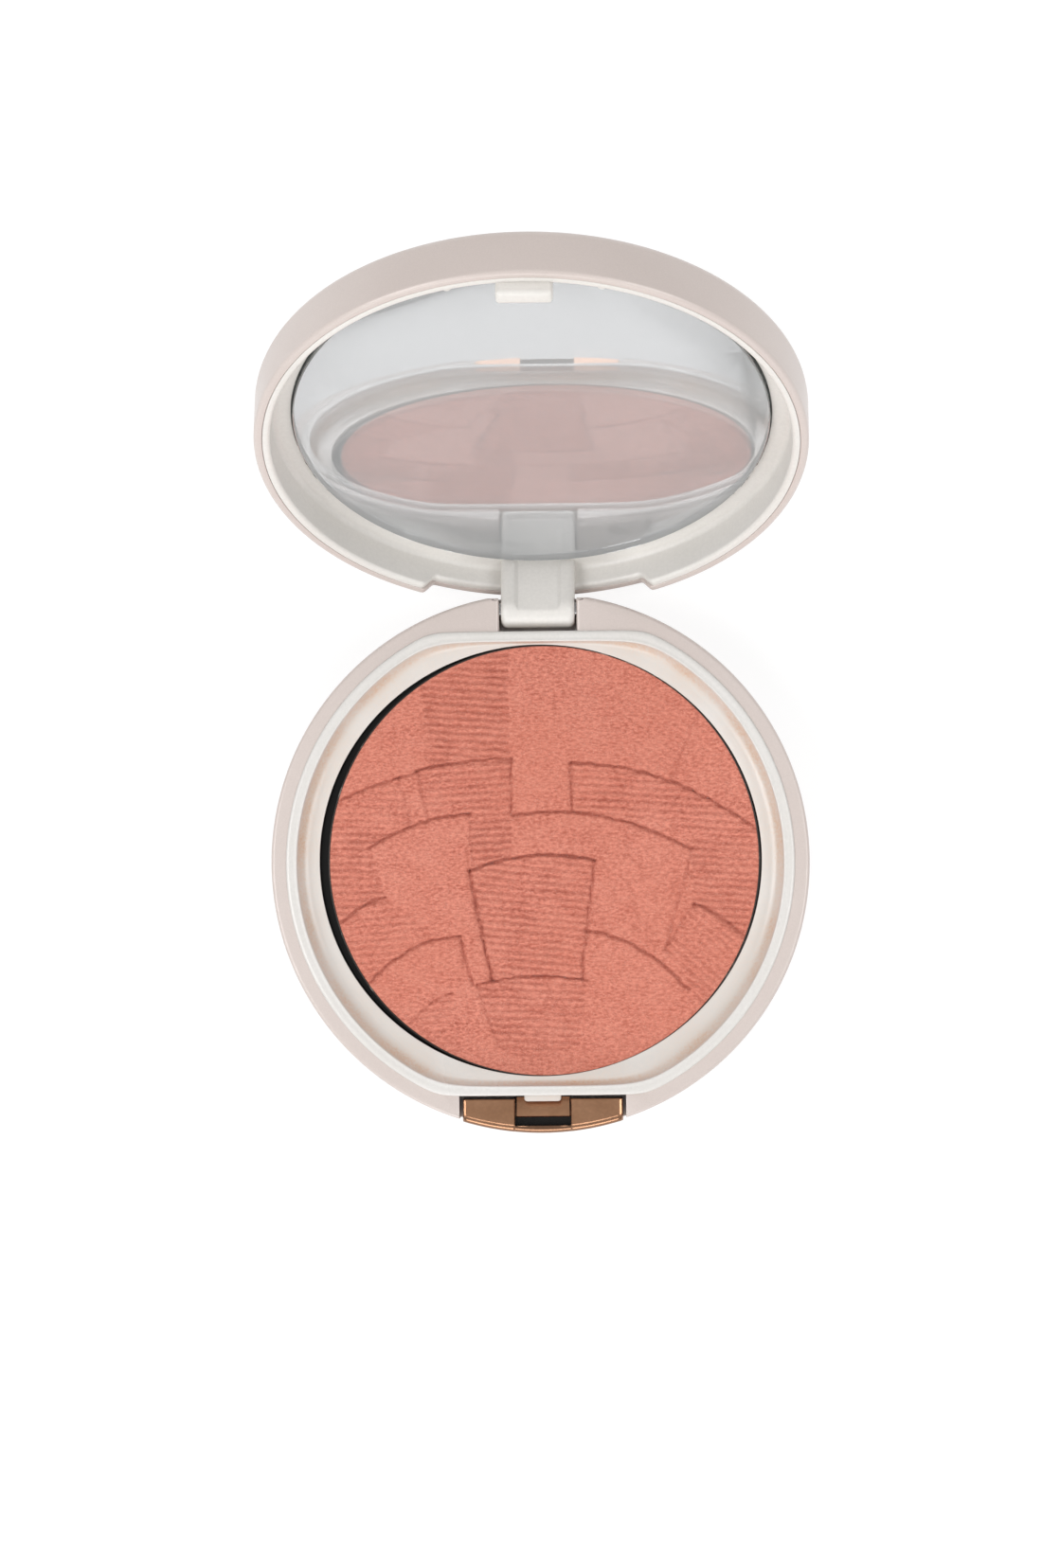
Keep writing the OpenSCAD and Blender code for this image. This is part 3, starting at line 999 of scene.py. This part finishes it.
def cake_relief(x, y):
    """Height of the pressed patches above or below the plain cake."""
    wander_x = x + 0.16 * ragged(x, y, 0.9, 1)
    wander_y = y + 0.16 * ragged(x, y, 0.8, 2)
    height = np.zeros(x.shape)
    for number, (corners, top_bow, bottom_bow, tilt, depth, seams) in enumerate(PATCHES):
        top_left, top_right, bottom_right, bottom_left = corners
        top = bowed(top_left, top_right, top_bow)
        bottom = bowed(bottom_right, bottom_left, bottom_bow)
        outline = np.vstack((top, [top_right], bottom, [bottom_left]))
        whole = np.vstack((outline, outline[:1]))
        away = distance_to(wander_x, wander_y, whole)
        away = np.where(is_inside(wander_x, wander_y, outline), -away, away)
        share = eased(0.5 - away / PATCH_EDGE)
        level = PATCH_STEP * (1 if number % 2 else -0.4)
        if tilt is not None:
            level = level + ribs(x, y, tilt, depth)
        height = height * (1 - share) + level * share
        lines = (np.vstack((top, [top_right])), (bottom_left, top_left), (top_right, bottom_right))
        for line, seam in zip(lines, seams):
            if seam:
                nearby = distance_to(wander_x, wander_y, line)
                height -= seam * SEAM_DEPTH * np.exp(-(nearby / SEAM_W) ** 2)
    return height


def make_cake():
    """Pressed cake: a fine relief on top, a small rounded edge, and its side and underside."""
    cake_r = pan_r - CAKE_GAP
    y_line = cake_r * np.linspace(-1, 1, CAKE_ROWS)
    y = np.repeat(y_line[:, None], CAKE_COLUMNS, axis=1)
    half = np.sqrt(np.maximum(cake_r ** 2 - y ** 2, 0))
    x = half * np.linspace(-1, 1, CAKE_COLUMNS)[None, :]
    inward = cake_r - np.hypot(x, y)
    fade = np.clip(inward / 0.6, 0, 1)
    top = cake_z - 0.06 + cake_relief(x, y) * fade + 0.012 * ragged(x, y, 0.35, 3)
    top -= 0.14 * np.clip(1 - inward / 0.35, 0, 1) ** 2
    points = np.stack((x + pan_middle.x, y + pan_middle.y, top), axis=-1)
    bm = skin(points, round_sections=False, round_points=False)
    rim = [edge for edge in bm.edges if edge.is_boundary]
    wall = bmesh.ops.extrude_edge_only(bm, edges=rim)["geom"]
    lower = [v for v in wall if isinstance(v, bmesh.types.BMVert)]
    for vert in lower:
        vert.co.z = cake_low.z + 0.02
    bmesh.ops.contextual_create(bm, geom=[e for e in bm.edges if e.is_boundary])
    return to_object("pressed_powder", bm, 60)


# ---------------------------------------------------------------- lid


NOTCH_H = 1.8
NOTCH_HALF_LOW = 14.1
NOTCH_HALF_RIM = 15.9


def rim_level(radius, angle):
    """Depth of the lid's rim at an angle, which rises in a notch behind the hinge tab."""
    if math.sin(angle) < 0:
        return 0.0
    sideways = abs(radius * math.cos(angle))
    return NOTCH_H * eased((NOTCH_HALF_RIM - sideways) / (NOTCH_HALF_RIM - NOTCH_HALF_LOW))


def lid_shell_profile(angle):
    """Section of the lid's outer moulding, standing on the parting plane."""
    rim = base_h + rim_level(case_r, angle)
    inner_r = case_r - LID_WALL
    corners = [
        (inner_r, base_h + LINER_TOP + 0.05, 0.1), (inner_r, rim + 0.05, 0.12),
        (case_r, rim, 0.75), (case_r, base_h + LID_H, 1.5),
    ]
    wall = filleted([(0, base_h + LINER_TOP + 0.05, 0)] + corners + [(0, base_h + LID_H, 0)], 7)
    return [tuple(point) for point in wall]


def liner_profile(angle):
    """Section of the lid's inner moulding: rim, wall, floor, mirror pocket and back."""
    rim = base_h + 0.06 + rim_level(liner_r, angle)
    floor = base_h + LID_FLOOR
    pocket = base_h + POCKET_DEPTH
    wall = filleted([
        (0, pocket, 0), (POCKET_R, pocket, 0.05), (POCKET_R, floor, 0.1),
        (LINER_IN_R, floor, 0.75), (LINER_IN_R, rim, 0.6), (liner_r, rim, 0.1),
        (liner_r, base_h + LINER_TOP, 0.1), (0, base_h + LINER_TOP, 0),
    ], 6)
    return [tuple(point) for point in wall]


BARREL_R = 2.4
TAB_W = 10.0
TAB_BACK = 1.1
TAB_POCKET_W = 5.9
TAB_POCKET_T = 0.4
TAB_SLOPE = 0.35
TAB_CORNER = 0.85
TAB_BORE_R = 1.05


def tab_section(sideways):
    """Outline of the hinge tab at a distance from its middle: barrel below, plate above."""
    over = max(abs(sideways) - (TAB_W / 2 - TAB_CORNER), 0.0)
    sunk = TAB_CORNER - math.sqrt(max(TAB_CORNER ** 2 - over ** 2, 0.0))
    radius = BARREL_R - sunk
    from_pocket = abs(sideways) - TAB_POCKET_W / 2
    face = radius - TAB_POCKET_T * (1 - eased((from_pocket + TAB_SLOPE) / (2 * TAB_SLOPE)))
    top = base_h + LID_FLOOR + 0.4
    front = [(-face, z) for z in np.linspace(top, hinge.z + 0.4, 6)]
    barrel = [
        (max(-radius * math.cos(turn), -face), hinge.z - radius * math.sin(turn))
        for turn in np.linspace(0, math.pi + math.acos(TAB_BACK / BARREL_R), 26)
    ]
    back = [(TAB_BACK, z) for z in np.linspace(hinge.z + radius, top, 5)]
    return [(sideways, hinge.y + u, z) for u, z in front + barrel + back]


def hinge_tab():
    """Tab that reaches from the liner down to the pin, with a sunk panel between two bars."""
    edge = TAB_W / 2
    ends = edge - TAB_CORNER + TAB_CORNER * np.sin(np.linspace(0, math.pi / 2, 7))
    pocket = TAB_POCKET_W / 2 + np.linspace(-TAB_SLOPE, TAB_SLOPE, 7)
    half = sorted(set(np.round(np.concatenate(([0.0, 1.2, 2.2, 3.7], pocket, ends)), 5)))
    places = [-place for place in reversed(half[1:])] + half
    tab = skin([tab_section(place) for place in places], round_sections=False, caps=True)
    return carved(tab, [pin_bore(TAB_BORE_R, -edge - 1, edge + 1)])


CATCH_HALF_W = 3.65
CATCH_OUT = 34.5
CATCH_IN = 32.15
CATCH_REACH = 1.66
BARB_T = 0.42
THROAT = 0.35


def catch_block():
    """Pillow-shaped catch at the front of the lid, with a throat that takes the lip."""
    block = rounded_block((-CATCH_HALF_W, -CATCH_OUT, base_h - CATCH_REACH),
                          (CATCH_HALF_W, -CATCH_IN, base_h + 2.2), 0.55, 5)
    throat = box_between((-CATCH_HALF_W - 1, -CATCH_IN - THROAT, base_h - CATCH_REACH + BARB_T),
                         (CATCH_HALF_W + 1, -CATCH_IN + 1, base_h - 0.1))
    return carved(block, [throat])


PIP_R = 0.8
PIP_X = 9.9


def pip(x):
    """Small half-round stud on the liner's wall."""
    bm = bmesh.new()
    bmesh.ops.create_uvsphere(bm, u_segments=20, v_segments=12, radius=PIP_R)
    stand = math.sqrt((LINER_IN_R + 0.15) ** 2 - x * x)
    bmesh.ops.translate(bm, vec=(x, -stand, base_h + 1), verts=bm.verts)
    return bm


def make_lid_shell():
    """Outer moulding of the lid."""
    bm = skin(revolved(lid_shell_profile, 720), round_points=False)
    return to_object("lid_outer_shell", open_lid(bm), 40)


def make_lid_liner():
    """Inner moulding of the lid with its tab, catch and two studs."""
    bm = skin(revolved(liner_profile, 720), round_points=False)
    for extra in (hinge_tab(), catch_block(), pip(-PIP_X), pip(PIP_X)):
        join(bm, extra)
    return to_object("lid_inner_liner", open_lid(bm), 40)


def disc_from(rings, steps=360):
    """Bmesh of a disc through rings (radius, depth in the lid), with one flat face at each end."""
    turns = 2 * np.pi * np.arange(steps) / steps
    sections = [
        [(radius * math.cos(turn), radius * math.sin(turn), base_h + depth) for turn in turns]
        for radius, depth in rings
    ]
    return skin(sections, round_sections=False, caps=True)


GLASS_BEVEL = 0.16
SILVER_INSET = 0.18


def glass_disc():
    """Mirror glass with a small ground bevel on both faces."""
    bevel = GLASS_BEVEL
    front, back = MIRROR_DEPTH, MIRROR_DEPTH + GLASS_T
    rings = [(mirror_r - bevel, front), (mirror_r, front + bevel), (mirror_r, back - bevel),
             (mirror_r - bevel, back)]
    return to_object("mirror_glass", open_lid(disc_from(rings)), 20)


def silver_disc():
    """Silver coat on the back of the glass."""
    front = MIRROR_DEPTH + GLASS_T
    edge = mirror_r - SILVER_INSET
    disc = disc_from([(edge, front), (edge, front + SILVER_T)])
    return to_object("mirror_silver", open_lid(disc), 20)


BACKING_TOP = 0.42
BACKING_ROUGH = 0.5


def backing_edge():
    """Dark line in the narrow gap round the glass, of uneven height."""
    inner_r, outer_r = mirror_r - 0.02, POCKET_R - 0.02
    depth = POCKET_DEPTH - 0.02
    rng = np.random.default_rng(11)
    steps = 720
    rough = np.convolve(rng.uniform(-1, 1, steps + 8), np.ones(9) / 9, "valid")
    sections = []
    for step in range(steps):
        turn = 2 * math.pi * step / steps
        face = MIRROR_DEPTH + BACKING_TOP + BACKING_ROUGH * rough[step]
        sections.append([(r * math.cos(turn), r * math.sin(turn), base_h + level)
                         for r, level in ((inner_r, face), (outer_r, face + 0.1),
                                          (outer_r, depth), (inner_r, depth))])
    return to_object("mirror_backing_edge", open_lid(skin(sections)), 40)


# ---------------------------------------------------------------- put together

fit(make_base_shell(), "base", "pearl_shell", pearl, "base_shell")
fit(make_base_frame(), "base", "ivory_moulding", ivory, "base_frame")
fit(make_pan(), "base", "dark_tinplate", tinplate(), "pan")
fit(make_cake(), "base", "coral_powder", pressed_powder(), "powder_cake")
fit(make_button(), "button", "bronze_button", plated_bronze(), "latch_button")
fit(make_lid_shell(), "lid", "pearl_shell", pearl, "lid_shell")
fit(make_lid_liner(), "lid", "liner_moulding", milky, "lid_liner")
fit(glass_disc(), "lid", "silvered_glass", mirror_glass_material(), "mirror")
fit(silver_disc(), "lid", "silvered_glass", silvering(), "mirror")
fit(backing_edge(), "lid", "silvered_glass", backing_paint(), "mirror")

for node, material in (("hinge_pin", pin_steel()), ("pan_glue", clear_glue()),
                       ("mirror_pad", film_material())):
    nodes[node].data.materials.clear()
    nodes[node].data.materials.append(material)


# ---------------------------------------------------------------- camera, light and floor

FLOOR_Z = -0.0001
FLOOR_REACH = 3.0
WORLD_STRENGTH = 0.44
LIGHT_AIM = Vector((0, 0.02, 0.02))

# Name, stand, width, height and power of each soft light
SOFTBOXES = (
    ("front_softbox", (-0.10, -0.95, 0.48), 0.9, 0.45, 4.4),
    ("left_softbox", (-0.65, -0.10, 0.80), 0.5, 0.5, 4.8),
    ("right_softbox", (0.65, -0.05, 0.80), 0.5, 0.5, 3.6),
    ("back_softbox", (0.0, 0.95, 0.95), 0.9, 0.4, 2.4),
)

CAMERA_DISTANCE = 0.850
CAMERA_RIGHT = 0.0208
AIM = Vector((-0.00249, 0.01065, base_h * MM))
VIEW_HEIGHT = 0.21246
SENSOR = 36.0
ROLL = math.radians(-0.595)


def add_camera():
    """Long lens looking down on the base, from a little to the right."""
    data = bpy.data.cameras.new("camera")
    data.sensor_width = SENSOR
    data.lens = SENSOR * CAMERA_DISTANCE / VIEW_HEIGHT
    data.clip_start = 0.01
    data.clip_end = 20.0
    camera = bpy.data.objects.new("camera", data)
    scene.collection.objects.link(camera)
    stand = Vector((CAMERA_RIGHT, AIM.y, AIM.z + CAMERA_DISTANCE))
    towards = (AIM - stand).normalized()
    right = Vector((0, 1, 0)).cross(-towards).normalized()
    up = (-towards).cross(right)
    turn = Matrix((right, up, -towards)).transposed().to_4x4()
    camera.matrix_world = Matrix.Translation(stand) @ turn @ Matrix.Rotation(ROLL, 4, "Z")
    scene.camera = camera


def add_softbox(name, stand, width, height, power):
    """Rectangular soft light aimed at the case."""
    data = bpy.data.lights.new(name, "AREA")
    data.shape = "RECTANGLE"
    data.size = width
    data.size_y = height
    data.energy = power
    light = bpy.data.objects.new(name, data)
    light.location = stand
    light.rotation_euler = (LIGHT_AIM - Vector(stand)).to_track_quat("-Z", "Y").to_euler()
    scene.collection.objects.link(light)


def add_floor():
    """Wide light table under the case."""
    mesh = bpy.data.meshes.new("floor")
    signs = ((-1, -1), (1, -1), (1, 1), (-1, 1))
    corners = [(x * FLOOR_REACH, y * FLOOR_REACH, FLOOR_Z) for x, y in signs]
    mesh.from_pydata(corners, [], [(0, 1, 2, 3)])
    floor = bpy.data.objects.new("floor", mesh)
    scene.collection.objects.link(floor)
    floor.data.materials.append(floor_material())


def add_world(strength):
    """Even white surroundings."""
    world = bpy.data.worlds.new("studio")
    world.use_nodes = True
    background = world.node_tree.nodes["Background"]
    background.inputs["Color"].default_value = (1, 1, 1, 1)
    background.inputs["Strength"].default_value = strength
    scene.world = world


add_camera()
add_floor()
add_world(WORLD_STRENGTH)
for softbox in SOFTBOXES:
    add_softbox(*softbox)
scene.view_settings.view_transform = "Standard"
